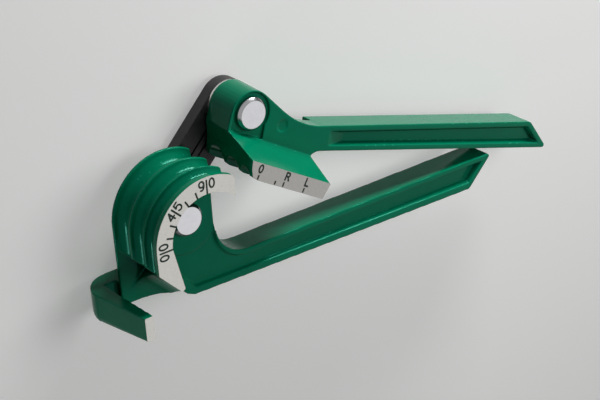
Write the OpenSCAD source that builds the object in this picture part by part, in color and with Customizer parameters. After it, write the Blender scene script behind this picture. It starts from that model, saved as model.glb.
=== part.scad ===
// Three-size tube bender: a form handle with a grooved wheel and a hook, a shoe handle, and a link
// that carries the shoe round the wheel. It lies on its back, +Z towards the gauge face, with the
// wheel pivot on the Z axis and the rivet ends on the ground plane.

/* [Tubes] */
// Outside diameter of the small tube
tube_small_d = 6; // [5.4:0.1:6.6]
// Outside diameter of the middle tube
tube_mid_d = 8; // [7.4:0.1:8.6]
// Outside diameter of the large tube
tube_large_d = 10; // [9.4:0.1:10.4]

/* [Form wheel] */
// Radius of the front rim, which is also the bend radius of the small tube
rim_r = 25.5; // [24.8:0.1:26]
// Width of the front rim, which carries the gauge band
rim_front_w = 2.7; // [2:0.1:3.4]
// Width of the rim between the small and the middle groove
rim_small_w = 0.9; // [0.7:0.1:1.5]
// Width of the rim between the middle and the large groove
rim_mid_w = 1.5; // [0.9:0.1:2]
// Width of the back rim
rim_back_w = 1.5; // [1:0.1:2.2]
// Width of the gauge band
band_w = 7.3; // [6:0.1:8.2]
// Depth of the web face below the gauge face
web_drop = 18.3; // [17.5:0.1:19.5]
// Distance from the wheel pivot to the cut side of the wheel
wheel_side_x = 13.3; // [12.5:0.1:14.5]
// Radius of the wheel's corner between the rims and its cut side
wheel_corner_r = 3; // [2:0.1:4]
// Straight run of the rims past the zero mark
tail_l = 9.7; // [8:0.1:11]
// Distance from the wheel pivot to the tip of the tail, towards the tube
tail_tip_x = 15.6; // [15:0.1:16.4]
// Width of the blunt tip of the tail
tail_tip_w = 1.4; // [1:0.1:2]
// Radius of the raised face round the wheel pin
web_boss_r = 16; // [12:0.1:16.8]
// Height of that face above the floor of the root
web_boss_h = 0.5; // [0.2:0.1:1]

/* [Hook] */
// Gap between the front rim and the inner face of the hook, at the free end
hook_gap = 4.6; // [4.6:0.1:5.6]
// Growth of that gap from the free end of the hook to its foot
hook_flare = 2.4; // [0.8:0.1:2.6]
// Thickness of the hook at its free end
hook_tip_t = 4; // [3:0.1:4.5]
// Thickness of the hook where it turns
hook_root_t = 6.8; // [6:0.1:8]
// Width of the hook at its free end
hook_tip_w = 11; // [9:0.1:12.5]
// Width of the hook where it turns
hook_root_w = 13.6; // [12.6:0.1:15]
// Distance from the wheel pivot down to the upper side of the hook
hook_top_y = 25.6; // [24:0.1:27]
// Radius of the outer turn of the hook
hook_turn_r = 12; // [8:0.1:13]
// Thickness of the foot of the hook along the pin axis
hook_foot_t = 8.6; // [7:0.1:9.4]

/* [Form handle] */
// Depth of both handle faces below the gauge face
handle_drop = 17; // [16.2:0.1:17.4]
// Thickness of both handles along the pin axis
handle_t = 14.5; // [13:0.1:15.5]
// Distance from the wheel pivot down to the upper edge of the form handle at its root
lever_top_y = 24; // [23.6:0.1:24.8]
// Drop of that edge from the root of the form handle to its tip
lever_top_drop = 2.4; // [0:0.1:3]
// Height of the form handle at its root
lever_root_h = 11.6; // [11:0.1:12.4]
// Height of the form handle at its tip
lever_tip_h = 14.6; // [13.4:0.1:15]
// Rise of the back of the form handle from its tip to its root
lever_back_rise = 1.6; // [0:0.1:2]
// Reach of the form handle from the wheel pivot
lever_reach = 173.2; // [140:1:176]
// Radius between the side of the wheel and the form handle
lever_fillet_r = 16; // [12:0.5:17]
// Width of the bead round the handle channels
bead_w = 2.4; // [1.6:0.1:2.8]
// Width of the bead along the lower edge of the form handle
low_bead_w = 3.2; // [2.4:0.1:3.6]
// Width of the bead along the slanting side under the wheel
side_bead_w = 4.2; // [2.4:0.1:5]
// Depth of the handle channels
channel_depth = 3; // [2:0.1:4]
// Side draft of the channel walls
channel_draft = 1.4; // [0.5:0.1:1.8]
// Length of the sloping start of a channel
channel_ramp_l = 10; // [4:0.5:14]

/* [Shoe handle] */
// Distance from the shoe pin to the groove face
shoe_h = 23.3; // [22.8:0.1:23.7]
// Reach of the shoe from its pin along the grooves
shoe_l = 40; // [37:0.5:43]
// Width of the scale face
scale_w = 7.2; // [6:0.1:8]
// Radius of the casting round the shoe pin
boss_r = 10; // [9.6:0.1:11]
// Distance from the shoe pin down to the top of the sloping face
slope_top_y = 9.3; // [9:0.1:10.4]
// Thickness of the neck along the pin axis
neck_t = 9; // [7:0.1:12]
// Radius of the long inside curve of the neck
neck_r = 41; // [35:1:46]
// Distance from the shoe pin axis down to the upper edge of the shoe handle
grip_top_y = 5.8; // [5:0.1:6.6]
// Height of the shoe handle at its root
grip_root_h = 11.4; // [10.6:0.1:11.8]
// Height of the shoe handle at its tip
grip_tip_h = 13.6; // [12:0.1:13.8]
// Reach of the shoe handle from its pin
grip_reach = 189; // [150:1:195]

/* [Link and pins] */
// Distance between the two pins
link_l = 50.65; // [50.3:0.05:52]
// Width of the link plate
link_w = 20.5; // [18.5:0.1:21]
// Thickness of the link plate
link_t = 6; // [5:0.1:7]
// Diameter of the pin shanks
pin_d = 10; // [8.6:0.1:11]
// Diameter of the pin necks in the link
neck_d = 8; // [6:0.1:8.4]
// Diameter of the pin heads
head_d = 14.5; // [13:0.1:15]
// Height of the pin heads
head_h = 2.7; // [2:0.1:3.5]
// Sloping edge of the pin heads
head_edge = 1.25; // [0.6:0.05:1.6]
// Thickness of the thrust washers between the castings and the link
washer_t = 1.3; // [0.8:0.1:2]
// Diameter of the thrust washers
washer_d = 20; // [17:0.1:20.4]
// Thickness of the burr washers behind the link
burr_t = 1; // [0.6:0.1:1.6]
// Diameter of the burr washers
burr_d = 14; // [12.6:0.1:16]
// Height of the peened ends of the pins
peen_h = 1.7; // [1.2:0.1:2.4]
// Diameter of the peened ends of the pins
peen_d = 12; // [10:0.1:12.4]

/* [Rest pose] */
// Direction of the link from the wheel pin at rest
link_angle = 45.7; // [45.7:0.1:60]
// Gap between the tip of the form handle and the shoe handle at rest
tip_gap = 2.1; // [1.8:0.1:6]
// Angle between the shoe's grooves and its handle
grip_angle = 15; // [15:0.5:20]

/* [Hidden] */
$fn = 96;

// Overrun of every cut past the solid it cuts
over = 1;
// Growth of the wheel's rounded corner, so that it meets the rim at a shallow angle
corner_ease = 0.06;
// Depth to which two faces cross where they would else only touch
crossing = 0.25;
// Radial clearance of a pin shank in its casting, and of a riveted neck in what it passes
turn_gap = 0.05;
rivet_gap = 0.03;
// Groove radius as a share of its tube's radius, and rim growth as a share of the depth
groove_room_share = 1.1;
rim_draft_share = 0.03;
// Rise of the blunt tip of the tail towards the wheel, as a share of its width
tail_tip_rise_share = 0.85;
// Growth of the boss radius from the front of the shoe casting to its back
boss_draft = 0.5;
// Depth of the recess round the head of the shoe pin, and its room round the head
recess_depth = 1.2;
head_room = 2;
// Width of the lip between that recess and the sloping face, and how far the recess steps in below
// the head on the side of the handle
recess_lip = 0.5;
recess_step = 1.3;
// Step from the boss in to the upper side of the neck
neck_inset = 0.6;
// Length that passes every end of the part
span = 2 * grip_reach;
// Radius and depth of the round ejector mark on the neck, and its place from the shoe pin
mark_r = 2.75;
mark_depth = 0.3;
mark_at = [18.3, -0.6];

// Levels above the ground plane
link_z = peen_h + burr_t;
washer_z = link_z + link_t;
cast_z = washer_z + washer_t;

// Grooves, from the small tube to the large one: radius, and depth of the middle below the gauge
groove_r = [for (d = [tube_small_d, tube_mid_d, tube_large_d]) d / 2 * groove_room_share];
groove_depth = [
    rim_front_w + groove_r[0],
    rim_front_w + 2 * groove_r[0] + rim_small_w + groove_r[1],
    rim_front_w + 2 * (groove_r[0] + groove_r[1]) + rim_small_w + rim_mid_w + groove_r[2]
];
wheel_depth = groove_depth[2] + groove_r[2] + rim_back_w;
gauge_z = cast_z + wheel_depth;
function rim_at(depth) = rim_r + depth * rim_draft_share;
back_rim_r = rim_at(wheel_depth);
band_r = rim_r - band_w;

// Middle of the rounded corner of the wheel
wheel_corner_at = [
    wheel_side_x - wheel_corner_r,
    sqrt(pow(rim_r - wheel_corner_r, 2) - pow(wheel_side_x - wheel_corner_r, 2))
];

web_z = gauge_z - web_drop;
handle_z = gauge_z - handle_drop;
handle_back_z = handle_z - handle_t;
recess_z = handle_z - recess_depth;
root_floor_z = web_z - web_boss_h;
skirt_z = cast_z + rim_back_w;

// Slanting side under the wheel, from the corner of the tail past its tip to the form handle
lever_bottom_y = lever_top_y + lever_root_h;
side_turn = -47.5;
tail_corner = [-rim_r, -tail_l];
tail_tip = [-tail_tip_x, tail_corner[1] + (rim_r - tail_tip_x) * tan(side_turn)];
tail_inner = tail_tip + tail_tip_w * [1, tail_tip_rise_share];
side_end = [tail_corner[0] + (tail_corner[1] + lever_bottom_y) / -tan(side_turn), -lever_bottom_y];
side_l = norm(side_end - tail_tip);
side_corner = 2.2;
foot_fillet_r = 12;
foot_fillet_inset = 3;

// Foot of the hook, whose lower side comes up from the hook and runs out under the handle: shares
// of the foot's length from its right end, and of the hook's width at its root
foot_shares = [[1, 1], [0.78, 0.9], [0.64, 0.83], [0.36, 0.86], [0.22, 0.92]];
foot_right_x = side_end[0] + tail_l;

// Hook, from its inner face outwards
hook_inner_x = -rim_r - hook_gap;
hook_low_x = hook_inner_x - hook_flare;
hook_tip_x = hook_inner_x - hook_tip_t;
hook_root_x = hook_low_x - hook_root_t;
hook_back_x = hook_root_x + hook_turn_r;

// Corners of the form handle
lever_channel_x = wheel_side_x + lever_fillet_r;
lever_top = [lever_channel_x, -lever_top_y];
lever_tip_top = [lever_reach, -lever_top_y - lever_top_drop];
lever_tip_low = lever_tip_top - lever_tip_h * [1, 1];
function lever_low_at(x) = side_end
    + (x - side_end[0]) / (lever_tip_low[0] - side_end[0]) * (lever_tip_low - side_end);

// Inside curve of the neck: a line off the boss, turned by neck_turn, then an arc to the handle
neck_turn = 30;
neck_side = boss_r - neck_inset;
neck_end_x = (neck_side + neck_r - (neck_r - grip_top_y) * cos(neck_turn)) / sin(neck_turn);
neck_arc_at = [neck_end_x, neck_r - grip_top_y];
neck_start = neck_arc_at - neck_r * [sin(neck_turn), cos(neck_turn)];
neck_top = neck_side * [sin(neck_turn), cos(neck_turn)];

// Corners of the shoe handle, in a frame along its upper edge
grip_bottom_y = grip_top_y + grip_root_h;
grip_tip_top = [grip_reach - grip_tip_h - bead_w, -grip_top_y];
grip_tip_low = [grip_reach, -grip_top_y - grip_tip_h];
grip_corners = [
    [neck_end_x, -grip_top_y], grip_tip_top, grip_tip_low, [neck_end_x, -grip_bottom_y]
];
front_corners = [for (p = grip_corners) [max(p[0], neck_end_x + bead_w), p[1]]];

// Corner between the shoe's end and the neck, seen in the frame of the handle, the arc from it to
// the handle, and a point inside the shoe to which that arc runs on by inner_turn degrees
inner_turn = 2;
corner_drop = 1.65;
corner_y = grip_bottom_y + corner_drop;
shoe_corner = [(shoe_l - corner_y * sin(grip_angle)) / cos(grip_angle), -corner_y];
neck_low_r = 9;
neck_low_x = shoe_corner[0] + sqrt(2 * neck_low_r * corner_drop - pow(corner_drop, 2));
neck_low = [neck_low_x, -grip_bottom_y];
neck_reach = max(neck_low_x, neck_end_x) + crossing;
neck_inner_turn = asin((neck_low_x - shoe_corner[0]) / neck_low_r) + inner_turn;
neck_inner = neck_low + neck_low_r * [-sin(neck_inner_turn), cos(neck_inner_turn) - 1];

// Rounded end of the shoe: shares of the boss radius along the grooves and of the shoe height
shoe_end_share = [
    [-0.98, 0], [-0.98, -0.13], [-0.87, -0.4], [-0.48, -0.68], [-0.34, -0.85], [-0.15, -0.97],
    [0.13, -1]
];
// Slant of the tip end of the shoe
shoe_flare = 0.6;

shoe_at = link_l * [cos(link_angle), sin(link_angle)];

// Direction of the shoe's grooves at rest, at which the lower edge of the shoe handle passes the tip
// of the form handle by tip_gap
grip_slant = atan2(grip_tip_h - grip_root_h, grip_tip_low[0] - neck_end_x);
grip_pass = (grip_bottom_y - neck_end_x * tan(grip_slant)) * cos(grip_slant) + tip_gap;
tip_way = lever_tip_top - shoe_at;
shoe_angle = atan2(tip_way[1], tip_way[0]) + asin(grip_pass / norm(tip_way)) + grip_slant - grip_angle;

// Places its child on the axis of the shoe pin
module at_shoe_pin() {
    translate([shoe_at[0], shoe_at[1], 0]) children();
}

// Turns an outline drawn in X and Z into a solid from y_high down to y_low
module across_y(y_high, y_low) {
    translate([0, y_high, 0]) rotate([90, 0, 0]) linear_extrude(y_high - y_low) children();
}

// Turns an outline drawn in Y and Z into a solid from x_low up to x_high
module across_x(x_low, x_high) {
    translate([x_low, 0, 0]) rotate([90, 0, 90]) linear_extrude(x_high - x_low) children();
}

// Turns a plan into a solid from z_low up to z_high
module between_z(z_low, z_high) {
    translate([0, 0, z_low]) linear_extrude(z_high - z_low) children();
}

// Side of a channel: the room to the right of the line from start to end, a bead away from it
// at the handle face and a further run away at the depth of the channel
module channel_side(start, end, bead, run) {
    translate([start[0], start[1], handle_z]) rotate([0, 0, atan2(end[1] - start[1], end[0] - start[0])])
        translate([0, -bead, 0]) rotate([-atan(run / channel_depth), 0, 0])
            translate([-span, -span, -span]) cube([2 * span, span, 2 * span]);
}

// Room above the floor of a channel, which rises by tilt degrees from the end at tip_x
module channel_room(tip_x, tilt) {
    translate([tip_x, 0, handle_z - channel_depth]) rotate([0, tilt, 0])
        translate([-span, -span, 0]) cube([2 * span, 2 * span, span]);
}

// Channel with sloping sides inside four corners, given clockwise from the start of the handle.
// The start slopes over its own run, and the lower side keeps its own bead.
module channel_cut(corners, low_bead, start_run, tilt) {
    intersection() {
        channel_side(corners[0], corners[1], bead_w, channel_draft);
        channel_side(corners[1], corners[2], bead_w, channel_draft);
        channel_side(corners[2], corners[3], low_bead, channel_draft);
        channel_side(corners[3], corners[0], bead_w, start_run);
        channel_room(corners[2][0], tilt);
        translate([-span, -span, 0]) cube([2 * span, 2 * span, handle_z + over]);
    }
}

// The same channel in the back of a handle
module back_channel_cut(corners, low_bead) {
    translate([0, 0, handle_z + handle_back_z]) mirror([0, 0, 1])
        channel_cut(corners, low_bead, channel_draft, 0);
}

// Section of the rims in radius and height, with the three tube grooves cut
module rim_section(inner_r) {
    difference() {
        polygon([
            [inner_r, cast_z], [back_rim_r, cast_z], [rim_r, gauge_z], [inner_r, gauge_z]
        ]);
        for (i = [0:2])
            translate([rim_at(groove_depth[i]), gauge_z - groove_depth[i]]) circle(groove_r[i]);
    }
}

// Upper half of the wheel: the rims, and the web that closes them behind
module wheel_half() {
    difference() {
        rotate_extrude() {
            rim_section(band_r);
            translate([0, cast_z]) square([band_r + over, root_floor_z - cast_z]);
        }
        translate([-back_rim_r - over, -back_rim_r - over, 0])
            cube([2 * (back_rim_r + over), back_rim_r + over, gauge_z + over]);
        translate([wheel_side_x, -over, 0])
            cube([back_rim_r, back_rim_r + 2 * over, gauge_z + over]);
        difference() {
            between_z(0, gauge_z + over) polygon([
                wheel_corner_at, wheel_corner_at * (1 + 2 * wheel_corner_r / norm(wheel_corner_at)),
                [wheel_side_x + over, back_rim_r], [wheel_side_x + over, wheel_corner_at[1]]
            ]);
            translate([wheel_corner_at[0], wheel_corner_at[1], cast_z - over]) cylinder(
                wheel_depth + over, wheel_corner_r + corner_ease + back_rim_r - rim_r,
                wheel_corner_r + corner_ease
            );
        }
    }
}

// Raised face round the wheel pin
module web_boss() {
    intersection() {
        between_z(cast_z, web_z) circle(web_boss_r);
        between_z(cast_z, web_z) translate([-web_boss_r, -web_boss_r])
            square([web_boss_r + wheel_side_x, 2 * web_boss_r]);
    }
}

// Straight tail of the rims, past the zero mark, cut off along the slanting side
module wheel_tail() {
    intersection() {
        mirror([1, 0, 0]) across_y(0, tail_tip[1] - over) rim_section(0);
        linear_extrude(gauge_z) polygon([
            [-band_r, 0], tail_inner, tail_tip, tail_corner,
            [-back_rim_r, -tail_l], [-back_rim_r, 0]
        ]);
    }
}

// Plan of the root and the form handle, with the inside curve between the wheel and the handle
module lever_plan() {
    difference() {
        polygon([
            [-band_r, 0], [wheel_side_x, 0], [wheel_side_x, lever_fillet_r - lever_top_y],
            lever_top, lever_tip_top, lever_tip_low, lever_low_at(side_end[0] + side_corner),
            side_end + side_corner / side_l * (tail_tip - side_end), tail_tip
        ]);
        translate([lever_channel_x, lever_fillet_r - lever_top_y]) circle(lever_fillet_r);
    }
}

// Sunk floor of the root, inside the beads. The bead of the inside curve fades out at the wheel.
module root_floor_cut() {
    depth = handle_z - root_floor_z;
    difference() {
        intersection() {
            translate([-band_r, -lever_bottom_y, root_floor_z])
                cube([band_r + lever_channel_x, lever_bottom_y + over, depth + over]);
            channel_side(side_end, tail_corner, side_bead_w, channel_draft);
            channel_side(lever_tip_low, side_end, low_bead_w, channel_draft);
        }
        translate([lever_channel_x, lever_fillet_r - lever_top_y - bead_w, root_floor_z - over])
            cylinder(
                depth + over, lever_fillet_r + channel_draft / channel_depth * (depth + over),
                lever_fillet_r
            );
    }
}

// Root and handle in one piece with the wheel, with a channel on both sides
module lever() {
    root_x = lever_channel_x - bead_w - over;
    back_corners = [lever_top, lever_tip_top, lever_tip_low, lever_low_at(lever_channel_x)];
    floor_rise = channel_depth - (handle_z - root_floor_z);
    difference() {
        intersection() {
            between_z(cast_z, handle_z) lever_plan();
            across_y(over, -span) polygon([
                [-back_rim_r, cast_z], [wheel_side_x, cast_z],
                [wheel_side_x, handle_back_z + lever_back_rise], [lever_reach + over, handle_back_z],
                [lever_reach + over, handle_z + over], [-back_rim_r, handle_z + over]
            ]);
        }
        root_floor_cut();
        channel_cut(
            [[root_x, lever_top[1]], lever_tip_top, lever_tip_low, lever_low_at(root_x)],
            low_bead_w, 0, atan(floor_rise / (lever_tip_low[0] - lever_channel_x))
        );
        back_channel_cut(back_corners, low_bead_w);
    }
}

// Section of the hook and its foot in X and Z: up from the foot, along the pin axis, to the free end
module hook_section() {
    difference() {
        union() {
            polygon([
                [hook_tip_x, gauge_z], [foot_right_x, gauge_z], [foot_right_x, 0],
                [hook_back_x, 0], [hook_back_x, hook_turn_r], [hook_root_x, hook_turn_r]
            ]);
            intersection() {
                translate([hook_back_x, hook_turn_r]) circle(hook_turn_r);
                translate([hook_root_x, 0]) square([hook_turn_r + over, hook_turn_r + over]);
            }
        }
        polygon([
            [hook_inner_x, gauge_z + over], [hook_inner_x, gauge_z], [hook_low_x, hook_foot_t],
            [-back_rim_r, hook_foot_t], [-back_rim_r, skirt_z],
            [foot_right_x + over, skirt_z], [foot_right_x + over, gauge_z + over]
        ]);
    }
}

// Plan of the foot, whose lower side runs on into the form handle
module foot_plan(top_y, left_x) {
    intersection() {
        polygon(concat(
            [[foot_right_x, lever_low_at(foot_right_x)[1]], [foot_right_x, top_y], [hook_root_x, top_y]],
            [for (share = foot_shares) [
                share[0] * hook_root_x + (1 - share[0]) * foot_right_x,
                -hook_top_y - share[1] * hook_root_w
            ]]
        ));
        translate([left_x, -span]) square(2 * span);
    }
}

// Section of the fillet between the skirt and the slanting side
module foot_fillet() {
    difference() {
        translate([-foot_fillet_r, -over]) square([foot_fillet_r + over, foot_fillet_r + over]);
        translate([-foot_fillet_r, foot_fillet_r]) circle(foot_fillet_r);
    }
}

// Hook, foot, and the skirt that joins them to the wheel, with a fillet up the slanting side
module hook() {
    intersection() {
        across_y(-hook_top_y, -hook_top_y - hook_root_w) hook_section();
        across_x(hook_root_x, foot_right_x) polygon([
            [-hook_top_y, 0], [-hook_top_y, gauge_z], [-hook_top_y - hook_tip_w, gauge_z],
            [-hook_top_y - hook_root_w, skirt_z], [-hook_top_y - hook_root_w, 0]
        ]);
        between_z(0, gauge_z) foot_plan(-hook_top_y, hook_root_x);
    }
    between_z(cast_z, skirt_z) foot_plan(over - tail_l, -back_rim_r);
    intersection() {
        between_z(cast_z, gauge_z) foot_plan(over - tail_l, -back_rim_r);
        translate([tail_tip[0], tail_tip[1], skirt_z]) rotate([0, 0, side_turn])
            translate([foot_fillet_inset, 0, 0]) rotate([90, 0, 90])
                linear_extrude(side_l - foot_fillet_inset) foot_fillet();
    }
}

module form_handle() {
    color("seagreen") difference() {
        union() {
            wheel_half();
            wheel_tail();
            lever();
            web_boss();
            hook();
        }
        translate([0, 0, cast_z - over]) cylinder(gauge_z, pin_d / 2 + turn_gap, pin_d / 2 + turn_gap);
    }
}

// Shoe: three straight grooves under a scale face, with a slope up to it from the handle face
module shoe_block() {
    intersection() {
        across_x(-boss_r - over, shoe_l + over) polygon([
            [boss_r, cast_z], [boss_r, handle_z], [-slope_top_y, handle_z],
            [scale_w - shoe_h, gauge_z], [-shoe_h, gauge_z], [-shoe_h, cast_z]
        ]);
        between_z(cast_z, gauge_z) polygon(concat(
            [for (share = shoe_end_share) [share[0] * boss_r, share[1] * shoe_h]],
            [
                [shoe_l - shoe_flare, -shoe_h], [shoe_l + shoe_flare, scale_w - shoe_h],
                [shoe_l, -slope_top_y], [shoe_l, -slope_top_y / 4],
                [boss_r / 3, boss_r - 2 * crossing], [0, 0]
            ]
        ));
    }
}

// Neck in the frame of the shoe handle, with a long arc above and a short one below
module neck_plan() {
    difference() {
        polygon([
            [0, 0], neck_top, neck_start, [neck_end_x, -grip_top_y],
            [neck_reach, -grip_top_y], [neck_reach, -grip_bottom_y], neck_low, neck_inner
        ]);
        translate(neck_arc_at) circle(neck_r + crossing / 4);
        translate(neck_low - [0, neck_low_r]) circle(neck_low_r + crossing / 4);
    }
}

// Plan of the recess round the head of the shoe pin, open towards the sloping face
module recess_plan() {
    side = head_d / 2 + head_room - crossing / 4;
    circle(head_d / 2 + head_room);
    intersection() {
        rotate(grip_angle) translate([-side, -span]) square([2 * side - recess_step, span]);
        translate([-span, recess_lip - slope_top_y]) square([2 * span, slope_top_y - recess_lip]);
    }
}

module shoe_handle() {
    color("mediumseagreen") at_shoe_pin() rotate([0, 0, shoe_angle]) difference() {
        union() {
            translate([0, 0, cast_z]) cylinder(handle_z - cast_z, boss_r + boss_draft, boss_r);
            shoe_block();
            rotate([0, 0, grip_angle]) {
                between_z(handle_z - neck_t, handle_z) neck_plan();
                between_z(handle_back_z, handle_z) polygon(grip_corners);
            }
        }
        for (i = [0:2])
            translate([-boss_r * 2, -shoe_h, gauge_z - groove_depth[i]]) rotate([0, 90, 0])
                cylinder(shoe_l + boss_r * 4, groove_r[i], groove_r[i]);
        translate([0, 0, cast_z - over]) cylinder(gauge_z, pin_d / 2 + turn_gap, pin_d / 2 + turn_gap);
        between_z(recess_z, handle_z + over) recess_plan();
        translate([mark_at[0], mark_at[1], handle_z - mark_depth])
            cylinder(mark_depth + over, mark_r, mark_r);
        rotate([0, 0, grip_angle]) {
            channel_cut(front_corners, bead_w, channel_ramp_l, 0);
            back_channel_cut(grip_corners, bead_w);
        }
    }
}

// Link plate: round ends about both pins, with a hole for each riveted neck
module link_plate() {
    color("dimgray") rotate([0, 0, link_angle]) between_z(link_z, washer_z) difference() {
        union() {
            circle(link_w / 2);
            translate([link_l, 0]) circle(link_w / 2);
            translate([0, -link_w / 2]) square([link_l, link_w]);
        }
        for (x = [0, link_l]) translate([x, 0]) circle(neck_d / 2 + rivet_gap);
    }
}

// Shouldered pin with a sloping head on the casting and a peened end behind the link
module pin(head_z) {
    rotate_extrude() polygon([
        [0, 0], [peen_d / 2 - peen_h / 2, 0], [peen_d / 2, peen_h / 2], [peen_d / 2, peen_h],
        [neck_d / 2, peen_h], [neck_d / 2, washer_z], [pin_d / 2, washer_z],
        [pin_d / 2, head_z], [head_d / 2, head_z], [head_d / 2, head_z + head_h - head_edge],
        [head_d / 2 - head_edge, head_z + head_h], [0, head_z + head_h]
    ]);
}

module wheel_pin() {
    color("gainsboro") pin(web_z);
}

module shoe_pin() {
    color("gainsboro") at_shoe_pin() pin(recess_z);
}

// Flat ring on a pin
module ring(low_z, high_z, outer_d, inner_r) {
    between_z(low_z, high_z) difference() {
        circle(outer_d / 2);
        circle(inner_r);
    }
}

module thrust_washer() {
    color("silver") ring(washer_z, cast_z, washer_d, pin_d / 2 + turn_gap);
}

module burr_washer() {
    color("silver") ring(peen_h, link_z, burr_d, neck_d / 2 + rivet_gap);
}

module wheel_washer() {
    thrust_washer();
}

module shoe_washer() {
    at_shoe_pin() thrust_washer();
}

module wheel_burr() {
    burr_washer();
}

module shoe_burr() {
    at_shoe_pin() burr_washer();
}

form_handle();
shoe_handle();
link_plate();
wheel_pin();
shoe_pin();
wheel_washer();
shoe_washer();
wheel_burr();
shoe_burr();
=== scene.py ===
from math import atan2, cos, pi, radians, sin

import bmesh
import bpy
from mathutils import Euler, Matrix, Vector


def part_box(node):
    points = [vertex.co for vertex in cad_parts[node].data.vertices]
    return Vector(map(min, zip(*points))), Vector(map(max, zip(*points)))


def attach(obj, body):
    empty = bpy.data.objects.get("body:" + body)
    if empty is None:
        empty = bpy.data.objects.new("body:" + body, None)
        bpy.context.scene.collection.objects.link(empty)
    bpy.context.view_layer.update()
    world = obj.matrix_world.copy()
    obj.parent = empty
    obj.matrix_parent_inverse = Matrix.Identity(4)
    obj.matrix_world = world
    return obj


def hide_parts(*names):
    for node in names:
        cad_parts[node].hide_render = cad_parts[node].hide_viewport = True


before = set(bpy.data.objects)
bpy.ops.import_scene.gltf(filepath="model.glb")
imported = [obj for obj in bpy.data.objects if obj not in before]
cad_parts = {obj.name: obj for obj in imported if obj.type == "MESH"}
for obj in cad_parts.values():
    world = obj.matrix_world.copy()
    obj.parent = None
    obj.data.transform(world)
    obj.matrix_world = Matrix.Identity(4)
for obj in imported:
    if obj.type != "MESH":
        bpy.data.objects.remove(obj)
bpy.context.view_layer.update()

bl_info = {
    "name": "Tube bender finish",
    "version": (1, 0, 0),
    "blender": (4, 5, 0),
    "location": "3D View > Sidebar > Bender",
    "description": "Dresses a three-size tube bender in enamel, milled faces and turned steel",
    "category": "Object",
}

MM = 0.001

# Points nearer than this count as one
TOUCH = 0.001 * MM

# Height of the bare faces, and place of the shoe pin
GAUGE_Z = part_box("form_handle")[1].z
PIN_LOW, PIN_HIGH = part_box("shoe_pin")
SHOE_AT = Vector(((PIN_LOW.x + PIN_HIGH.x) / 2, (PIN_LOW.y + PIN_HIGH.y) / 2, 0))

# Turns between faces from which an edge is shaded sharp, and from which it is rounded
SHARP_TURN = radians(42)
BEVEL_TURN = radians(30)

# How far beyond a rounded corner points are still drawn in
CORNER_MARGIN = 8 * MM

# The factor of each round of wear, the rise of bare faces in skin grids, and the grids to a stroke
WEAR_SHARE = 0.5
SKIN_RISE = 3
STROKE_GRIDS = 8

# Directions on the castings, in degrees
GROOVE_TURN = -31.5
ZERO_TURN = 180
TICK_TURN = 15
TICK_COUNT = 7
NUMERALS = {0: "00", 3: "45", 6: "90"}

# Marks of the shoe's scale, along the grooves and away from the pin, in millimetres
SCALE_TICKS = ((1.0, 20.9, 23.0), (10.6, 21.3, 23.0), (15.3, 20.9, 23.0), (27.1, 20.9, 23.0))
SCALE_LETTERS = (("0", 0.9), ("R", 16.1), ("L", 27.5))
SCALE_LETTER_AT = 18.3

# Round upright corners: place and radius in millimetres, and the turns of both sides in degrees, on
# the form handle, and from the shoe pin along and across the shoe handle
FORM_CORNERS = (
    (173.2, -26.4, 1.2, 179.0, 225.0), (158.6, -41.0, 3.0, 45.0, 176.9),
    (-34.1, -36.6, 0.9, 0.0, 90.0), (-30.1, -36.6, 0.7, 90.0, 180.0),
)
GRIP_TURN = -16.5
GRIP_CORNERS = ((173.0, -5.8, 4.0, 180.0, -40.4), (189.0, -19.4, 1.2, 139.6, 179.2))

# The rivet pins, and the outline of their peened ends: radius, and height over the end
PIN_HEAD_H = 2.7 * MM
PIN_HEAD_BEVEL = 1.25 * MM
PIN_SHANK_R = 5 * MM
PIN_NECK_R = 4 * MM
PIN_SHOULDER_Z = 8.7 * MM
PEEN_R = 6 * MM
PEEN_H = 1.7 * MM
PEEN_OUTLINE = (
    (0.6 * MM, 0), (3.72 * MM, 0.04 * MM), (5.16 * MM, 0.374 * MM), (5.82 * MM, 0.935 * MM),
)
TURNING_STEP = 0.42 * MM
TURNING_DEPTH = 0.006 * MM
LATHE_STEPS = 144
EDGE_STEPS = 3

# The roughness of every grain's noise, and the middle of its values
NOISE_ROUGHNESS = 0.55
GRAIN_MIDDLE = (0.3, 0.7)

# Enamel: its grains by size, or by size and height, its painted shade in hollows, its painted
# highlight on edges, and how it shines
ENAMEL_DRIFT = 14 * MM
ENAMEL_CLOUD = 5 * MM
ENAMEL_RIPPLE = (3.2 * MM, 0.016 * MM)
ENAMEL_PEEL = (0.8 * MM, 0.005 * MM)
# Painted highlight: the pointiness range over which outer edges turn lighter
ENAMEL_HIGHLIGHT_RANGE = (0.53, 0.70)
ENAMEL_SPREAD = (-0.04, 0.07)
ENAMEL_SPECULAR = 0.17
ENAMEL_TINT = (0.12, 1.0, 0.78, 1)
# Painted shade: the enamel is darkened in grooves and corners by occlusion within its own piece
HOLLOW_SHADE_REACH = 7 * MM
HOLLOW_SHADE_RAYS = 12
HOLLOW_SHADE_RANGE = (0.40, 0.88)

# Paint in the marks
MARK_CLOUD = 0.5 * MM
MARK_GRAIN = (0.3 * MM, 0.02 * MM)
MARK_LIGHT = 2.2
MARK_ROUGHNESS = 0.55

# Bare milled faces: their grain, their scratches, and the way the scratches lie on each
MILLED_GRAIN = (0.35 * MM, 0.010 * MM)
MILLED_GRAIN_RANGE = (0.35, 0.65)
MILLED_SCRATCH = (0.5 * MM, 0.012 * MM)
MILLED_SCRATCH_RANGE = (0.35, 0.62)
MILLED_SCRATCH_SHARE = 0.8
MILLED_SHADE = 0.78
MILLED_METALLIC = 0.85
MILLED_ROUGHNESS = (0.34, 0.46)
GAUGE_LAY = (0.25, 1, 1)
SCALE_LAY = (1, 0.25, 1)

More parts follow.
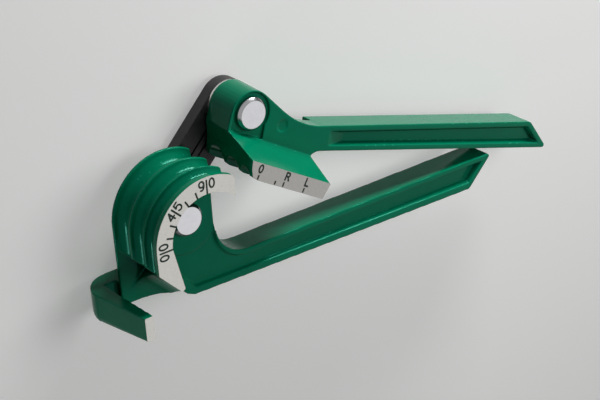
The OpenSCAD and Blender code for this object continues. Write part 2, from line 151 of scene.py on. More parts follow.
# Turned steel, and the painted dark reflection on its bevels, by how far they face away from the
# pin's ends
STEEL_HAZE = 3 * MM
STEEL_GRAIN = (0.4 * MM, 0.002 * MM)
STEEL_SHADE = 0.9
STEEL_ROUGHNESS = (0.14, 0.26)
# Painted dark reflection on the bevels: the range of facing over which it comes in, and how dark it
# is
BEVEL_REFLECTION_RANGE = (0.80, 0.97)
BEVEL_REFLECTION_SHADE = 0.45

# Stamped washers
WASHER_HAZE = 1.6 * MM
WASHER_GRAIN = (0.3 * MM, 0.004 * MM)
WASHER_COLOURS = ((0.62, 0.62, 0.62), (0.82, 0.81, 0.79))
WASHER_ROUGHNESS = (0.25, 0.42)

# Blackened steel, its worn patches, and the lighter colour on its outer edges
BLACK_CLOUD = 6 * MM
BLACK_GRAIN = (0.5 * MM, 0.010 * MM)
BLACK_WORN_RANGE = (0.35, 0.7)
BLACK_WORN_SHARE = 0.6
BLACK_WORN_LIGHT = 2.4
BLACK_EDGE = (0.52, 0.62)
BLACK_EDGE_COLOUR = (0.07, 0.066, 0.066)
BLACK_METALLIC = 0.3
BLACK_ROUGHNESS = (0.42, 0.58)

# The floor as a camera or a mirror sees it, and the colour with which it lights the bender
FLOOR_GRAIN = 40 * MM
FLOOR_SHADE = 0.985
FLOOR_GLOW = 0.32
FLOOR_ROUGHNESS = 0.9
FLOOR_SPECULAR = 0.1
FLOOR_BOUNCE = (0.20, 0.20, 0.20)

# The colour of the room's light, and how a camera or a mirror sees the room glow, by height
ROOM_COLOUR = (0.97, 0.98, 1.0, 1)
ROOM_HEIGHTS = (0.1, 0.5)
ROOM_GLOWS = (0.22, 1.0)

# Places of a colour mix's sockets
MIX_FIRST = 6
MIX_SECOND = 7
MIX_RESULT = 2

# Steps of a round stroke
ROUND_STEPS = 24


def arc(middle, radii, start, end):
    """Points of an elliptic arc between two directions in degrees."""
    turns = [radians(start + (end - start) * i / ROUND_STEPS) for i in range(ROUND_STEPS + 1)]
    return [(middle[0] + radii[0] * cos(t), middle[1] + radii[1] * sin(t)) for t in turns]


# Strokes of the numerals and letters in a box one high, about its middle
GLYPHS = {
    "0": [arc((0, 0), (0.29, 0.5), 0, 360)],
    "4": [[(0.14, -0.5), (0.14, 0.5), (-0.33, -0.2), (0.34, -0.2)]],
    "5": [[(0.28, 0.5), (-0.2, 0.5), (-0.27, 0.04)] + arc((0, -0.17), (0.31, 0.33), 122, -142)],
    "9": [arc((0, 0.18), (0.29, 0.32), 0, 360), arc((-0.03, 0.06), (0.32, 0.56), 12, -108)],
    "R": [
        [(-0.3, -0.5), (-0.3, 0.5), (0.04, 0.5)]
        + arc((0.04, 0.25), (0.24, 0.25), 90, -90)
        + [(-0.3, 0.0)],
        [(0.04, 0.0), (0.32, -0.5)],
    ],
    "L": [[(-0.24, 0.5), (-0.24, -0.5), (0.28, -0.5)]],
}


class BenderCastings(bpy.types.PropertyGroup):
    """Shape and finish of the two castings"""

    voxel: bpy.props.FloatProperty(
        name="Skin grid", description="Grid on which the cast skin is drawn",
        default=0.32 * MM, min=0.2 * MM, max=1 * MM, unit="LENGTH", precision=5)
    easing: bpy.props.IntProperty(
        name="Edge easing", description="Rounds of smoothing that wear the cast edges",
        default=5, min=1, max=20)
    enamel: bpy.props.FloatVectorProperty(
        name="Enamel", description="Colour of the enamel", subtype="COLOR", size=3,
        default=(0.0, 0.232, 0.115), min=0, max=1)
    enamel_deep: bpy.props.FloatVectorProperty(
        name="Deep enamel", description="Colour where the enamel lies thick",
        subtype="COLOR", size=3, default=(0.0, 0.19, 0.095), min=0, max=1)
    # Painted highlight: a lighter colour laid on outer edges
    enamel_edge_highlight: bpy.props.FloatVectorProperty(
        name="Painted edge highlight", description="Colour of the painted highlight on outer edges",
        subtype="COLOR", size=3, default=(0.03, 0.44, 0.26), min=0, max=1)
    # Painted shade: a dark colour laid into grooves and corners
    enamel_painted_shade: bpy.props.FloatVectorProperty(
        name="Painted hollow shade", description="Colour of the painted shade in grooves and corners",
        subtype="COLOR", size=3, default=(0.0, 0.06, 0.036), min=0, max=1)
    gloss: bpy.props.FloatProperty(
        name="Enamel roughness", description="Roughness of the enamel", subtype="FACTOR",
        default=0.14, min=0, max=1)


class BenderMarks(bpy.types.PropertyGroup):
    """Bare faces and what is engraved in them"""

    face_depth: bpy.props.FloatProperty(
        name="Mark depth", description="Depth of the engraved marks in the bare faces",
        default=0.2 * MM, min=0.05 * MM, max=0.5 * MM, unit="LENGTH", precision=5)
    stroke: bpy.props.FloatProperty(
        name="Stroke width", description="Width of the engraved strokes",
        default=0.84 * MM, min=0.2 * MM, max=1 * MM, unit="LENGTH", precision=5)
    numeral_h: bpy.props.FloatProperty(
        name="Numeral height", description="Height of the gauge numerals",
        default=3.9 * MM, min=2 * MM, max=5 * MM, unit="LENGTH", precision=5)
    letter_h: bpy.props.FloatProperty(
        name="Letter height", description="Height of the letters on the shoe",
        default=3.2 * MM, min=2 * MM, max=4 * MM, unit="LENGTH", precision=5)
    numeral_r: bpy.props.FloatProperty(
        name="Numeral radius", description="Distance of the numerals from the wheel pin",
        default=22.3 * MM, min=20 * MM, max=24 * MM, unit="LENGTH", precision=5)
    numeral_step: bpy.props.FloatProperty(
        name="Numeral step", description="Distance of a numeral from its tick",
        default=2.45 * MM, min=1 * MM, max=4 * MM, unit="LENGTH", precision=5)
    tick_low_r: bpy.props.FloatProperty(
        name="Tick start", description="Radius at which the ticks start",
        default=17.4 * MM, min=16 * MM, max=20 * MM, unit="LENGTH", precision=5)
    tick_r: bpy.props.FloatProperty(
        name="Short tick end", description="Radius at which the short ticks end",
        default=21.3 * MM, min=19 * MM, max=24 * MM, unit="LENGTH", precision=5)
    long_tick_r: bpy.props.FloatProperty(
        name="Long tick end", description="Radius at which the numbered ticks end",
        default=24.4 * MM, min=21 * MM, max=25 * MM, unit="LENGTH", precision=5)
    milled: bpy.props.FloatVectorProperty(
        name="Milled metal", description="Colour of the bare gauge face", subtype="COLOR", size=3,
        default=(0.76, 0.745, 0.70), min=0, max=1)
    milled_shoe: bpy.props.FloatVectorProperty(
        name="Milled shoe", description="Colour of the bare scale face", subtype="COLOR", size=3,
        default=(0.50, 0.485, 0.462), min=0, max=1)
    mark: bpy.props.FloatVectorProperty(
        name="Mark paint", description="Colour in the bottom of the marks", subtype="COLOR", size=3,
        default=(0.0006, 0.010, 0.0065), min=0, max=1)


class BenderHardware(bpy.types.PropertyGroup):
    """Pins, washers and link"""

    pin_edge: bpy.props.FloatProperty(
        name="Pin edge", description="Rounding of the turned edges", default=0.14 * MM,
        min=0.02 * MM, max=0.4 * MM, unit="LENGTH", precision=5)
    link_edge: bpy.props.FloatProperty(
        name="Link edge", description="Rounding of the link's edges", default=0.45 * MM,
        min=0.05 * MM, max=1 * MM, unit="LENGTH", precision=5)
    washer_edge: bpy.props.FloatProperty(
        name="Washer edge", description="Rounding of the washers' edges", default=0.15 * MM,
        min=0.02 * MM, max=0.4 * MM, unit="LENGTH", precision=5)
    steel: bpy.props.FloatVectorProperty(
        name="Bright steel", description="Colour of the pins", subtype="COLOR", size=3,
        default=(0.78, 0.78, 0.81), min=0, max=1)
    black: bpy.props.FloatVectorProperty(
        name="Blackened steel", description="Colour of the link", subtype="COLOR", size=3,
        default=(0.02, 0.018, 0.019), min=0, max=1)


class BenderStage(bpy.types.PropertyGroup):
    """Lamps, floor and camera"""

    key: bpy.props.FloatProperty(
        name="Key lamp", description="Power of the lamp beyond the wheel", default=6.8,
        min=0, max=100, unit="POWER")
    fill: bpy.props.FloatProperty(
        name="Fill lamp", description="Power of the lamp on the hook's side", default=1.8,
        min=0, max=100, unit="POWER")
    panel: bpy.props.FloatProperty(
        name="Overhead panel", description="Power of the soft panel above the bender", default=0.95,
        min=0, max=100, unit="POWER")
    room: bpy.props.FloatProperty(
        name="Room light", description="Strength of the light from the room", default=0.055,
        min=0, max=2)
    floor: bpy.props.FloatVectorProperty(
        name="Floor", description="Colour of the floor", subtype="COLOR", size=3,
        default=(0.82, 0.82, 0.81), min=0, max=1)


def settings():
    """The property groups of the bender."""
    return bpy.context.scene.bender_finish


def placed(name, mesh):
    """A new object that shows a mesh."""
    piece = bpy.data.objects.new(name, mesh)
    bpy.context.scene.collection.objects.link(piece)
    return piece


def settled(piece):
    """Bakes a piece's modifiers into its mesh."""
    bpy.context.view_layer.update()
    graph = bpy.context.evaluated_depsgraph_get()
    shaped = bpy.data.meshes.new_from_object(piece.evaluated_get(graph))
    old = piece.data
    piece.modifiers.clear()
    piece.data = shaped
    bpy.data.meshes.remove(old)
    return piece


def shaded(piece, *finishes):
    """Smooth shading with true edges kept sharp, and the piece's finishes."""
    for face in piece.data.polygons:
        face.use_smooth = True
    piece.data.set_sharp_from_angle(angle=SHARP_TURN)
    piece.data.materials.clear()
    for finish in finishes:
        piece.data.materials.append(finish)


def heading(turn):
    """The direction of a turn in degrees."""
    return Vector((cos(radians(turn)), sin(radians(turn))))


def form_corners():
    """Corners of the form handle, each with its radius and the directions of its sides."""
    return [(Vector((x, y)) * MM, radius * MM, heading(first), heading(second))
            for x, y, radius, first, second in FORM_CORNERS]


def grip_corners():
    """Corners of the shoe handle, each with its radius and the directions of its sides."""
    turn = Matrix.Rotation(radians(GRIP_TURN), 2)
    return [(SHOE_AT.to_2d() + turn @ Vector((x, y)) * MM, radius * MM,
             turn @ heading(first), turn @ heading(second))
            for x, y, radius, first, second in GRIP_CORNERS]


def round_corners(skin, corners):
    """Draws the upright corners of a skin in to their radii, and what lies under them alike."""
    for corner, radius, first, second in corners:
        half = first.angle(second) / 2
        inward = (first + second).normalized()
        depth = radius / sin(half)
        middle = corner + inward * depth
        walls = [(inward - side * inward.dot(side)).normalized() for side in (first, second)]
        for point in skin.data.vertices:
            flat = point.co.to_2d()
            if (flat - corner).length > depth + CORNER_MARGIN:
                continue
            out = flat - middle
            reach = radius - min((flat - corner).dot(wall) for wall in walls)
            if 0 < reach < out.length and -out.normalized().dot(inward) > sin(half):
                out.length = reach
                point.co.xy = middle + out


def cast_skin(node, grid, easing, rise, corners):
    """A node's shape with worn edges, its bare faces drawn up by rise so that they stay square."""
    skin = placed(f"{node}_skin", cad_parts[node].data.copy())
    shape = bmesh.new()
    shape.from_mesh(skin.data)
    bmesh.ops.remove_doubles(shape, verts=shape.verts, dist=TOUCH)
    top = [f for f in shape.faces if all(abs(v.co.z - GAUGE_Z) < TOUCH for v in f.verts)]
    grown = bmesh.ops.extrude_face_region(shape, geom=top)
    moved = [item for item in grown["geom"] if isinstance(item, bmesh.types.BMVert)]
    bmesh.ops.translate(shape, vec=(0, 0, rise), verts=moved)
    shape.to_mesh(skin.data)
    shape.free()
    remesh = skin.modifiers.new("Skin", "REMESH")
    remesh.mode = "VOXEL"
    remesh.voxel_size = grid
    remesh.use_smooth_shade = True
    round_corners(settled(skin), corners)
    smooth = skin.modifiers.new("Wear", "SMOOTH")
    smooth.factor = WEAR_SHARE
    smooth.iterations = easing
    return settled(skin)


def cut_off(mesh, height, keep_low):
    """Cuts a mesh at a height and closes the cut."""
    shape = bmesh.new()
    shape.from_mesh(mesh)
    bmesh.ops.bisect_plane(
        shape, geom=shape.verts[:] + shape.edges[:] + shape.faces[:], dist=TOUCH / 10,
        plane_co=(0, 0, height), plane_no=(0, 0, 1),
        clear_outer=keep_low, clear_inner=not keep_low)
    rim = [edge for edge in shape.edges if edge.is_boundary]
    lid = bmesh.ops.holes_fill(shape, edges=rim, sides=0)["faces"]
    bmesh.ops.triangulate(shape, faces=lid)
    bmesh.ops.recalc_face_normals(shape, faces=shape.faces)
    shape.to_mesh(mesh)
    shape.free()


def stroke_prism(shape, start, end, width, low, high, steps):
    """A stroke as a prism between two heights: round-ended, or square-ended in one step."""
    along = end - start
    turn = atan2(along.y, along.x)
    outline = []
    side = width / 2
    for middle, first in ((end, -pi / 2), (start, pi / 2)):
        for i in range(steps + 1):
            angle = turn + first + pi * i / steps
            outline.append((middle.x + side * cos(angle), middle.y + side * sin(angle)))
    rings = [[shape.verts.new((x, y, z)) for x, y in outline] for z in (low, high)]
    shape.faces.new(reversed(rings[0]))
    shape.faces.new(rings[1])
    for i in range(len(outline)):
        j = (i + 1) % len(outline)
        shape.faces.new((rings[0][i], rings[0][j], rings[1][j], rings[1][i]))


def glyph_strokes(letter, middle, right, up, height):
    """Strokes of a letter about its middle: two points and the steps of a round end."""
    strokes = []
    for line in GLYPHS[letter]:
        points = [middle + right * (x * height) + up * (y * height) for x, y in line]
        strokes += [(start, end, ROUND_STEPS // 2) for start, end in zip(points, points[1:])]
    return strokes


def gauge_strokes(marks):
    """Ticks and numerals of the gauge band."""
    strokes = []
    for i in range(TICK_COUNT):
        out = heading(ZERO_TURN - i * TICK_TURN)
        clockwise = Vector((out.y, -out.x))
        end_r = marks.long_tick_r if i in NUMERALS else marks.tick_r
        strokes.append((out * marks.tick_low_r, out * end_r, 1))
        for side, letter in zip((-1, 1), NUMERALS.get(i, "")):
            middle = out * marks.numeral_r + clockwise * (side * marks.numeral_step)
            strokes += glyph_strokes(letter, middle, clockwise, out, marks.numeral_h)
    return strokes


def scale_strokes(marks):
    """Ticks and letters of the shoe's scale."""
    along = heading(GROOVE_TURN)
    up = Vector((-along.y, along.x))
    pin = SHOE_AT.to_2d()
    strokes = [
        (pin + along * (s * MM) - up * (low * MM), pin + along * (s * MM) - up * (high * MM), 1)
        for s, low, high in SCALE_TICKS
    ]
    for letter, s in SCALE_LETTERS:
        middle = pin + along * (s * MM) - up * (SCALE_LETTER_AT * MM)
        strokes += glyph_strokes(letter, middle, along, up, marks.letter_h)
    return strokes


def engraver(strokes, marks):
    """The tool that cuts strokes through a bare face."""
    low, high = GAUGE_Z - 2 * marks.face_depth, GAUGE_Z + marks.face_depth
    shape = bmesh.new()
    for start, end, steps in strokes:
        stroke_prism(shape, start, end, marks.stroke, low, high, steps)
    mesh = bpy.data.meshes.new("engraver")
    shape.to_mesh(mesh)
    shape.free()
    tool = placed("engraver", mesh)
    remesh = tool.modifiers.new("Join", "REMESH")
    remesh.mode = "VOXEL"
    remesh.voxel_size = marks.stroke / STROKE_GRIDS
    return settled(tool)


def split_casting(node, casting_name, face_name, strokes, body, face_finish, corners):
    """Turns a casting node into its painted casting and its bare, engraved faces."""
    look, marks = settings().castings, settings().marks
    casting = cast_skin(node, look.voxel, look.easing, SKIN_RISE * look.voxel, corners)
    casting.name = casting_name
    faces = placed(face_name, casting.data.copy())
    floor_z = GAUGE_Z - marks.face_depth
    cut_off(casting.data, floor_z, True)
    cut_off(faces.data, GAUGE_Z, True)
    cut_off(faces.data, floor_z, False)
    tool = engraver(strokes, marks)
    cut = faces.modifiers.new("Engrave", "BOOLEAN")
    cut.operation = "DIFFERENCE"
    cut.solver = "EXACT"
    cut.object = tool
    settled(faces)
    bpy.data.objects.remove(tool)
    if not faces.data.polygons:
        raise RuntimeError(f"{face_name} came out empty")
    shaded(casting, enamel_paint(), mark_paint())
    for face in casting.data.polygons:
        if all(abs(casting.data.vertices[i].co.z - floor_z) < TOUCH for i in face.vertices):
            face.material_index = 1
    shaded(faces, face_finish)
    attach(casting, body)
    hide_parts(node)
    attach(faces, body)


def finish_named(name):
    """A material of that name with its shader, or None and the material made before."""
    made = bpy.data.materials.get(name)
    if made:
        return made, None
    made = bpy.data.materials.new(name)
    made.use_nodes = True
    return made, made.node_tree.nodes["Principled BSDF"]


def add(shader, kind, values=None, **choices):
    """A node beside a shader, with its choices and input values."""
    node = shader.id_data.nodes.new(kind)
    for choice, value in choices.items():
        setattr(node, choice, value)
    for socket, value in (values or {}).items():
        node.inputs[socket].default_value = value
    return node


def join(start, end):
    """Links an output to an input."""
    end.id_data.links.new(start, end)


def speckle(shader, size, detail=3.0, stretch=None):
    """Noise of a real grain size, on the piece's own coordinates."""
    place = add(shader, "ShaderNodeTexCoord")
    noise = add(shader, "ShaderNodeTexNoise", {
        "Scale": 1 / size, "Detail": detail, "Roughness": NOISE_ROUGHNESS})
    if stretch:
        spread = add(shader, "ShaderNodeMapping", {"Scale": stretch})
        join(place.outputs["Object"], spread.inputs["Vector"])
        join(spread.outputs["Vector"], noise.inputs["Vector"])
    else:
        join(place.outputs["Object"], noise.inputs["Vector"])
    return noise.outputs["Fac"]


def spread_over(shader, value, low, high, to_low, to_high):
    """Maps a value from one range to another."""
    node = add(shader, "ShaderNodeMapRange", {
        "From Min": low, "From Max": high, "To Min": to_low, "To Max": to_high})
    join(value, node.inputs["Value"])
    return node.outputs["Result"]


def mixed(shader, share, first, second):
    """Mixes two colours, each a socket or a plain colour."""
    node = add(shader, "ShaderNodeMix", data_type="RGBA")
    join(share, node.inputs["Factor"])
    for place, colour in ((MIX_FIRST, first), (MIX_SECOND, second)):
        if isinstance(colour, bpy.types.NodeSocket):
            join(colour, node.inputs[place])
        else:
            node.inputs[place].default_value = (*colour, 1)
    return node.outputs[MIX_RESULT]


def roughened(shader, layers):
    """Bump from several grains, each with its height in metres."""
    normal = None
    for value, height in layers:
        bump = add(shader, "ShaderNodeBump", {"Strength": 1.0, "Distance": height})
        join(value, bump.inputs["Height"])
        if normal:
            join(normal, bump.inputs["Normal"])
        normal = bump.outputs["Normal"]
    join(normal, shader.inputs["Normal"])


def grained(shader, grain, detail=3.0, stretch=None):
    """A grain of a size and a height as a layer of bump."""
    size, height = grain
    return speckle(shader, size, detail, stretch), height


def toned(colour, light):
    """A colour with its light times a factor."""
    return [channel * light for channel in colour]


def edge_share(shader, low, high):
    """How far a spot lies on an outer edge, from the mesh's own pointiness."""
    spot = add(shader, "ShaderNodeNewGeometry")
    return spread_over(shader, spot.outputs["Pointiness"], low, high, 0, 1)


# Mask of the painted shade in grooves and corners
def hollow_shade_share(shader):
    """How deep a spot lies in a groove or a corner of its own piece."""
    nook = add(
        shader, "ShaderNodeAmbientOcclusion", {"Distance": HOLLOW_SHADE_REACH},
        samples=HOLLOW_SHADE_RAYS, only_local=True)
    return spread_over(shader, nook.outputs["AO"], *HOLLOW_SHADE_RANGE, 1, 0)


def bevel_reflection_share(shader):
    """How far a spot on a turned pin faces away from its ends."""
    facing = add(shader, "ShaderNodeSeparateXYZ")
    join(add(shader, "ShaderNodeNewGeometry").outputs["True Normal"], facing.inputs["Vector"])
    level = add(shader, "ShaderNodeMath", operation="ABSOLUTE")
    join(facing.outputs["Z"], level.inputs[0])
    return spread_over(shader, level.outputs["Value"], *BEVEL_REFLECTION_RANGE, 1, 0)


def enamel_paint():
    """Green stoving enamel over a cast skin, with painted shade in its hollows and a painted
    highlight on its outer edges.
    """
    look = settings().castings
    finish, shader = finish_named("green_enamel_paint")
    if shader is None:
        return finish
    drift = speckle(shader, ENAMEL_DRIFT, detail=2)
    body = mixed(shader, drift, look.enamel_deep, look.enamel)
    # Painted shade darkens the enamel in grooves and corners
    body = mixed(shader, hollow_shade_share(shader), body, look.enamel_painted_shade)
    # Painted highlight lightens the enamel on outer edges
    body = mixed(shader, edge_share(shader, *ENAMEL_HIGHLIGHT_RANGE), body, look.enamel_edge_highlight)
    join(body, shader.inputs["Base Color"])
    low, high = (look.gloss + spread for spread in ENAMEL_SPREAD)
    cloud = speckle(shader, ENAMEL_CLOUD)
    join(spread_over(shader, cloud, *GRAIN_MIDDLE, low, high), shader.inputs["Roughness"])
    shader.inputs["Specular IOR Level"].default_value = ENAMEL_SPECULAR
    shader.inputs["Specular Tint"].default_value = ENAMEL_TINT
    ripple = grained(shader, ENAMEL_RIPPLE, detail=2)
    peel = grained(shader, ENAMEL_PEEL, detail=2)
    roughened(shader, (ripple, peel))
    return finish


def mark_paint():
    """Dark paint left in the bottom of the engraved marks."""
    finish, shader = finish_named("mark_paint")
    if shader is None:
        return finish
    dark = settings().marks.mark
    body = mixed(shader, speckle(shader, MARK_CLOUD), dark, toned(dark, MARK_LIGHT))
    join(body, shader.inputs["Base Color"])
    shader.inputs["Roughness"].default_value = MARK_ROUGHNESS
    roughened(shader, (grained(shader, MARK_GRAIN),))
    return finish


def milled_metal(name, colour, lay):
    """Bare casting, ground flat: a fine lay and a sandy grain."""
    finish, shader = finish_named(name)
    if shader is None:
        return finish
    grain, grain_h = grained(shader, MILLED_GRAIN, detail=4)
    scratch, scratch_h = grained(shader, MILLED_SCRATCH, detail=4, stretch=lay)
    sand = spread_over(shader, grain, *MILLED_GRAIN_RANGE, 0, 1)
    bright = spread_over(shader, scratch, *MILLED_SCRATCH_RANGE, 0, MILLED_SCRATCH_SHARE)
    body = mixed(shader, sand, toned(colour, MILLED_SHADE), colour)
    join(mixed(shader, bright, body, colour), shader.inputs["Base Color"])
    shader.inputs["Metallic"].default_value = MILLED_METALLIC
    join(spread_over(shader, scratch, *GRAIN_MIDDLE, *MILLED_ROUGHNESS), shader.inputs["Roughness"])
    roughened(shader, ((grain, grain_h), (scratch, scratch_h)))
    return finish


def turned_steel():
    """Plated bright steel off the lathe, with a painted dark reflection on its bevels."""
    finish, shader = finish_named("turned_steel")
    if shader is None:
        return finish
    steel = settings().hardware.steel
    haze = speckle(shader, STEEL_HAZE)
    body = mixed(shader, haze, steel, toned(steel, STEEL_SHADE))
    # Painted dark reflection darkens the bevels
    body = mixed(shader, bevel_reflection_share(shader), body, toned(steel, BEVEL_REFLECTION_SHADE))
    join(body, shader.inputs["Base Color"])
    shader.inputs["Metallic"].default_value = 1.0
    join(spread_over(shader, haze, *GRAIN_MIDDLE, *STEEL_ROUGHNESS), shader.inputs["Roughness"])
    roughened(shader, (grained(shader, STEEL_GRAIN, detail=2),))
    return finish


def washer_metal():
    """Plain stamped washers, duller than the pins."""
    finish, shader = finish_named("stamped_washer_steel")
    if shader is None:
        return finish
    haze = speckle(shader, WASHER_HAZE, detail=4)
    join(mixed(shader, haze, *WASHER_COLOURS), shader.inputs["Base Color"])
    shader.inputs["Metallic"].default_value = 1.0
    join(spread_over(shader, haze, *GRAIN_MIDDLE, *WASHER_ROUGHNESS), shader.inputs["Roughness"])
    roughened(shader, (grained(shader, WASHER_GRAIN),))
    return finish


def blackened_steel():
    """Blackened plate: nearly black, with a dry sheen and lighter outer edges."""
    finish, shader = finish_named("blackened_steel")
    if shader is None:
        return finish
    black = settings().hardware.black
    cloud = speckle(shader, BLACK_CLOUD, detail=4)
    worn = spread_over(shader, cloud, *BLACK_WORN_RANGE, 0, BLACK_WORN_SHARE)
    body = mixed(shader, worn, black, toned(black, BLACK_WORN_LIGHT))
    # Lighter colour on outer edges, by pointiness
    body = mixed(shader, edge_share(shader, *BLACK_EDGE), body, BLACK_EDGE_COLOUR)
    join(body, shader.inputs["Base Color"])
    shader.inputs["Metallic"].default_value = BLACK_METALLIC
    join(spread_over(shader, cloud, *GRAIN_MIDDLE, *BLACK_ROUGHNESS), shader.inputs["Roughness"])
    roughened(shader, (grained(shader, BLACK_GRAIN),))
    return finish


def background_ray(path):
    """One where the camera, a mirror or a glass looks at the background, else zero."""
    tree = path.id_data
    seen = path.outputs["Is Camera Ray"]
    for kind in ("Is Glossy Ray", "Is Transmission Ray"):
        either = tree.nodes.new("ShaderNodeMath")
        either.operation = "MAXIMUM"
        tree.links.new(seen, either.inputs[0])
        tree.links.new(path.outputs[kind], either.inputs[1])
        seen = either.outputs[0]
    return seen


def floor_paint():
    """Pale matt floor with a trace of grain."""
    finish, shader = finish_named("pale_floor")
    if shader is None:
        return finish
    pale = settings().stage.floor
    seen = background_ray(add(shader, "ShaderNodeLightPath"))
    skin = mixed(shader, speckle(shader, FLOOR_GRAIN, detail=2), toned(pale, FLOOR_SHADE), pale)
    join(mixed(shader, seen, FLOOR_BOUNCE, skin), shader.inputs["Base Color"])
    shader.inputs["Emission Color"].default_value = (*pale, 1)
    join(spread_over(shader, seen, 0, 1, 0, FLOOR_GLOW), shader.inputs["Emission Strength"])
    shader.inputs["Roughness"].default_value = FLOOR_ROUGHNESS
    shader.inputs["Specular IOR Level"].default_value = FLOOR_SPECULAR
    return finish


def lathed(name, profile, axis):
    """Turns a profile of radius and height about an upright axis, closed at both ends."""
    shape = bmesh.new()
    ends = [shape.verts.new((axis.x, axis.y, profile[i][1])) for i in (0, -1)]
    turns = [2 * pi * i / LATHE_STEPS for i in range(LATHE_STEPS)]
    rings = [
        [shape.verts.new((axis.x + radius * cos(turn), axis.y + radius * sin(turn), height))
         for turn in turns]
        for radius, height in profile
    ]
    for i in range(LATHE_STEPS):
        j = (i + 1) % LATHE_STEPS
        shape.faces.new((ends[0], rings[0][j], rings[0][i]))
        shape.faces.new((ends[1], rings[-1][i], rings[-1][j]))
        for low, high in zip(rings, rings[1:]):
            shape.faces.new((low[i], low[j], high[j], high[i]))
    bmesh.ops.recalc_face_normals(shape, faces=shape.faces)
    mesh = bpy.data.meshes.new(name)
    shape.to_mesh(mesh)
    shape.free()
    return placed(name, mesh)


def eased(piece, width):
    """Rounds a piece's sharp edges."""
    bevel = piece.modifiers.new("Edges", "BEVEL")
    bevel.width = width
    bevel.segments = EDGE_STEPS
    bevel.limit_method = "ANGLE"
    bevel.angle_limit = BEVEL_TURN


def rivet_pin(name, axis, node):
    """A turned pin with a bevelled head, a shank, a neck and a domed, peened end."""
    low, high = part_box(node)
    head_r = (high.x - low.x) / 2
    face_r = head_r - PIN_HEAD_BEVEL
    head_low = high.z - PIN_HEAD_H
    profile = [(radius, low.z + height) for radius, height in PEEN_OUTLINE]
    profile += [(PEEN_R, PEEN_H), (PIN_NECK_R, PEEN_H)]
    profile += [(PIN_NECK_R, PIN_SHOULDER_Z), (PIN_SHANK_R, PIN_SHOULDER_Z)]
    profile += [(PIN_SHANK_R, head_low), (head_r, head_low)]
    profile += [(head_r, high.z - PIN_HEAD_BEVEL), (face_r, high.z)]
    radius = face_r - 2 * TURNING_STEP
    while radius > TURNING_STEP:
        profile += [(radius, high.z), (radius - TURNING_STEP / 2, high.z - TURNING_DEPTH)]
        radius -= TURNING_STEP
    pin = lathed(name, profile, axis)
    eased(pin, settings().hardware.pin_edge)
    settled(pin)
    shaded(pin, turned_steel())
    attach(pin, "link")
    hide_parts(node)


def dress_node(node, finish, edge):
    """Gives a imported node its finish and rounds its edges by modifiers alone."""
    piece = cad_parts[node]
    weld = piece.modifiers.new("Weld", "WELD")
    weld.merge_threshold = TOUCH
    eased(piece, edge)
    piece.data.materials.clear()
    piece.data.materials.append(finish)
    for face in piece.data.polygons:
        face.use_smooth = False


class BENDER_OT_form_casting(bpy.types.Operator):
    """Enamel the form handle's casting and bare its gauge band and hook end"""

    bl_idname = "bender.form_casting"
    bl_label = "Form handle"

    def execute(self, context):
        marks = settings().marks
        split_casting(
            "form_handle", "form_casting", "gauge_faces", gauge_strokes(marks), "form",
            milled_metal("milled_gauge_face", marks.milled, GAUGE_LAY), form_corners())
        return {"FINISHED"}


class BENDER_OT_shoe_casting(bpy.types.Operator):
    """Enamel the shoe handle's casting and bare its scale face"""

    bl_idname = "bender.shoe_casting"
    bl_label = "Shoe handle"

    def execute(self, context):
        marks = settings().marks
        split_casting(
            "shoe_handle", "shoe_casting", "scale_face", scale_strokes(marks), "shoe",
            milled_metal("milled_scale_face", marks.milled_shoe, SCALE_LAY), grip_corners())
        return {"FINISHED"}


class BENDER_OT_pins(bpy.types.Operator):
    """Turn the wheel pin and the shoe pin"""

    bl_idname = "bender.pins"
    bl_label = "Rivet pins"

    def execute(self, context):
        rivet_pin("wheel_rivet", Vector((0, 0, 0)), "wheel_pin")
        rivet_pin("shoe_rivet", SHOE_AT, "shoe_pin")
        return {"FINISHED"}


class BENDER_OT_link(bpy.types.Operator):
    """Blacken the link plate and round its edges"""

    bl_idname = "bender.link"
    bl_label = "Link plate"

    def execute(self, context):
        dress_node("link_plate", blackened_steel(), settings().hardware.link_edge)
        return {"FINISHED"}


class BENDER_OT_washers(bpy.types.Operator):
    """Finish the thrust washers and the burr washers"""

    bl_idname = "bender.washers"
    bl_label = "Washers"

    def execute(self, context):
        for node in ("wheel_washer", "shoe_washer", "wheel_burr", "shoe_burr"):
            dress_node(node, washer_metal(), settings().hardware.washer_edge)
        return {"FINISHED"}


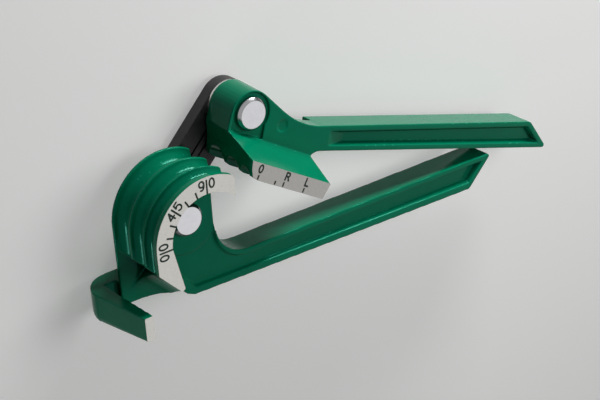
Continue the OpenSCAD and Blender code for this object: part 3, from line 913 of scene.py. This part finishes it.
class BENDER_OT_stage(bpy.types.Operator):
    """Set the floor, the lamps, the room and the camera"""

    bl_idname = "bender.stage"
    bl_label = "Studio"

    FLOOR_R = 6.0
    FLOOR_SIDES = 96
    LAMPS = (
        ("key_lamp", "key", (0.48, 0.72, 0.13), (0.42, 0.17)),
        ("fill_lamp", "fill", (-0.95, -0.55, 0.24), (0.22, 0.22)),
        ("overhead_panel", "panel", (0.30, 0.14, 0.50), (0.3, 0.3)),
    )
    AIM = Vector((0.03, 0.0, 0.02))
    CAMERA_AT = (-0.26775, 0.27021, 0.46919)
    CAMERA_TURN = (-24.9261, -37.6878, -3.6289)
    LENS = 85.567
    SENSOR = 36
    CLIP_START = 0.01

    def lay_floor(self):
        """A round, pale floor under the bender."""
        mesh = bpy.data.meshes.new("studio_floor")
        shape = bmesh.new()
        bmesh.ops.create_circle(
            shape, cap_ends=True, segments=self.FLOOR_SIDES, radius=self.FLOOR_R)
        shape.to_mesh(mesh)
        shape.free()
        floor = placed("studio_floor", mesh)
        floor.data.materials.append(floor_paint())

    def hang_lamps(self, scene):
        """Soft lamps, of which the overhead panel leaves no reflection."""
        for name, power, place, size in self.LAMPS:
            lamp = bpy.data.lights.new(name, "AREA")
            lamp.energy = getattr(settings().stage, power)
            lamp.shape = "RECTANGLE"
            lamp.size, lamp.size_y = size
            holder = bpy.data.objects.new(name, lamp)
            scene.collection.objects.link(holder)
            holder.location = place
            holder.visible_glossy = power != "panel"
            away = Vector(place) - self.AIM
            holder.rotation_euler = away.to_track_quat("Z", "Y").to_euler()

    def light_room(self, scene):
        """A faint, even room, which camera, mirror and glass see paler towards its ceiling."""
        world = bpy.data.worlds.new("studio_room")
        world.use_nodes = True
        scene.world = world
        tree = world.node_tree
        room = tree.nodes["Background"]
        room.inputs["Color"].default_value = ROOM_COLOUR
        room.inputs["Strength"].default_value = settings().stage.room
        backdrop = add(room, "ShaderNodeBackground")
        height = add(room, "ShaderNodeSeparateXYZ")
        join(add(room, "ShaderNodeTexCoord").outputs["Generated"], height.inputs["Vector"])
        glow = spread_over(room, height.outputs["Z"], *ROOM_HEIGHTS, *ROOM_GLOWS)
        join(glow, backdrop.inputs["Strength"])
        swap = add(room, "ShaderNodeMixShader")
        join(background_ray(add(room, "ShaderNodeLightPath")), swap.inputs["Fac"])
        join(room.outputs["Background"], swap.inputs[1])
        join(backdrop.outputs["Background"], swap.inputs[2])
        join(swap.outputs["Shader"], tree.nodes["World Output"].inputs["Surface"])

    def stand_camera(self, scene):
        """The camera at the photograph's place."""
        lens = bpy.data.cameras.new("photo_camera")
        lens.lens = self.LENS
        lens.sensor_width = self.SENSOR
        lens.clip_start = self.CLIP_START
        camera = bpy.data.objects.new("photo_camera", lens)
        scene.collection.objects.link(camera)
        camera.location = self.CAMERA_AT
        camera.rotation_euler = Euler([radians(turn) for turn in self.CAMERA_TURN], "XYZ")
        scene.camera = camera

    def execute(self, context):
        self.lay_floor()
        self.hang_lamps(context.scene)
        self.light_room(context.scene)
        self.stand_camera(context.scene)
        context.scene.view_settings.view_transform = "Standard"
        return {"FINISHED"}


STEPS = (
    BENDER_OT_form_casting, BENDER_OT_shoe_casting, BENDER_OT_pins, BENDER_OT_link,
    BENDER_OT_washers, BENDER_OT_stage,
)


class BENDER_PT_finish(bpy.types.Panel):
    """Steps that dress the tube bender"""

    bl_label = "Tube bender"
    bl_idname = "BENDER_PT_finish"
    bl_space_type = "VIEW_3D"
    bl_region_type = "UI"
    bl_category = "Bender"

    def draw(self, context):
        for step in STEPS:
            self.layout.operator(step.bl_idname)
        for group in ("castings", "marks", "hardware", "stage"):
            box = self.layout.box()
            values = getattr(settings(), group)
            for name in values.__annotations__:
                box.prop(values, name)


class BenderFinish(bpy.types.PropertyGroup):
    """All settings of the bender's finish"""

    castings: bpy.props.PointerProperty(type=BenderCastings)
    marks: bpy.props.PointerProperty(type=BenderMarks)
    hardware: bpy.props.PointerProperty(type=BenderHardware)
    stage: bpy.props.PointerProperty(type=BenderStage)


CLASSES = (
    BenderCastings, BenderMarks, BenderHardware, BenderStage, BenderFinish, *STEPS,
    BENDER_PT_finish,
)


def register():
    for item in CLASSES:
        bpy.utils.register_class(item)
    bpy.types.Scene.bender_finish = bpy.props.PointerProperty(type=BenderFinish)


def unregister():
    del bpy.types.Scene.bender_finish
    for item in reversed(CLASSES):
        bpy.utils.unregister_class(item)


def main():
    register()
    bpy.ops.bender.form_casting()
    bpy.ops.bender.shoe_casting()
    bpy.ops.bender.pins()
    bpy.ops.bender.link()
    bpy.ops.bender.washers()
    bpy.ops.bender.stage()


if __name__ == "__main__":
    main()
